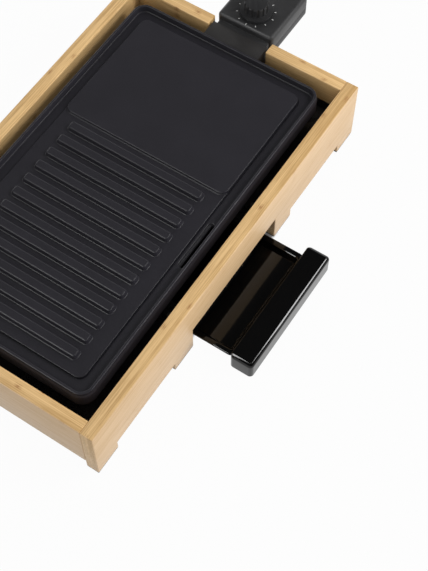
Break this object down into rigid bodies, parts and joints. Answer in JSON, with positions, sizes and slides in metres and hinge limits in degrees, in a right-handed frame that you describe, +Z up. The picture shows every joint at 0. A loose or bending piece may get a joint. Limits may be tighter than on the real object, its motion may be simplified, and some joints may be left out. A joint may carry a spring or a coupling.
{
  "type": "electric table grill",
  "caption": "Electric table grill: ribbed and flat cooking plate in a bamboo frame, with a slide-out drip tray and a plug-in temperature control.",
  "frame": {"origin": "on the table under the middle of the bamboo frame, in the plane of the foot pads", "axes": "+X along the grill towards the control, -Y out of the front where the drip tray slides, +Z up"},
  "size_m": [0.5875, 0.3735, 0.1061],
  "materials": {
    "bamboo": "clear satin lacquer over laminated bamboo",
    "pad_rubber": "matte",
    "black_sheet": "semi-gloss black enamel",
    "zinc_steel": "zinc plated",
    "phenolic": "matte",
    "silicone": "soft matte",
    "bright_sheet": "bright",
    "nonstick": "textured black non-stick coating on cast aluminium",
    "heater_steel": "heat-tinted",
    "ceramic": "glazed",
    "plated_pin": "polished",
    "tray_black": "high gloss black",
    "control_black": "fine grain",
    "lens_red": "clear red",
    "lamp_glass": "clear",
    "knob_black": "satin",
    "dowel_beech": "raw",
    "contact_brass": "plain"
  },
  "bodies": {
    "frame": {"front_rail": "bamboo", "rear_rail": "bamboo", "left_rail": "bamboo", "right_rail": "bamboo", "corner_dowels": "dowel_beech", "foot_pads": "pad_rubber", "base_pan": "black_sheet", "pan_screws": "zinc_steel", "tray_runner_left": "black_sheet", "tray_runner_right": "black_sheet", "runner_rivets": "zinc_steel", "support_posts": "phenolic", "post_caps": "silicone", "post_screws": "zinc_steel", "heat_reflector": "bright_sheet"},
    "plate": {"grill_plate": "nonstick", "heating_element": "heater_steel", "element_clamps": "zinc_steel", "clamp_screws": "zinc_steel", "terminal_bushes": "ceramic", "terminal_pins": "plated_pin", "probe_socket": "zinc_steel", "inlet_shroud": "phenolic", "shroud_screws": "zinc_steel"},
    "control": {"control_upper_shell": "control_black", "control_lower_shell": "control_black", "thermostat_block": "phenolic", "contact_sleeves": "contact_brass", "probe_rod": "plated_pin", "control_screws": "zinc_steel", "pilot_lens": "lens_red", "pilot_lamp": "lamp_glass", "cord_bushing": "pad_rubber"},
    "knob": {"control_knob": "knob_black", "knob_shaft": "zinc_steel"},
    "tray": {"drip_tray": "tray_black", "tray_handle": "tray_black", "handle_screws": "zinc_steel"}
  },
  "joints": [
    {"name": "tray_slide", "type": "slide", "parent": "frame", "child": "tray", "axis": [0, -1, 0], "range_m": [-0.059, 0.04]},
    {"name": "plate_lift", "type": "slide", "parent": "frame", "child": "plate", "axis": [0, 0, 1], "range_m": [0, 0.08]},
    {"name": "control_unplug", "type": "slide", "parent": "plate", "child": "control", "axis": [1, 0, 0], "range_m": [0, 0.11]},
    {"name": "knob_turn", "type": "hinge", "parent": "control", "child": "knob", "pos_m": [0.2775, 0, 0.09], "axis": [0, 0, -1], "range_deg": [0, 270]}
  ]
}
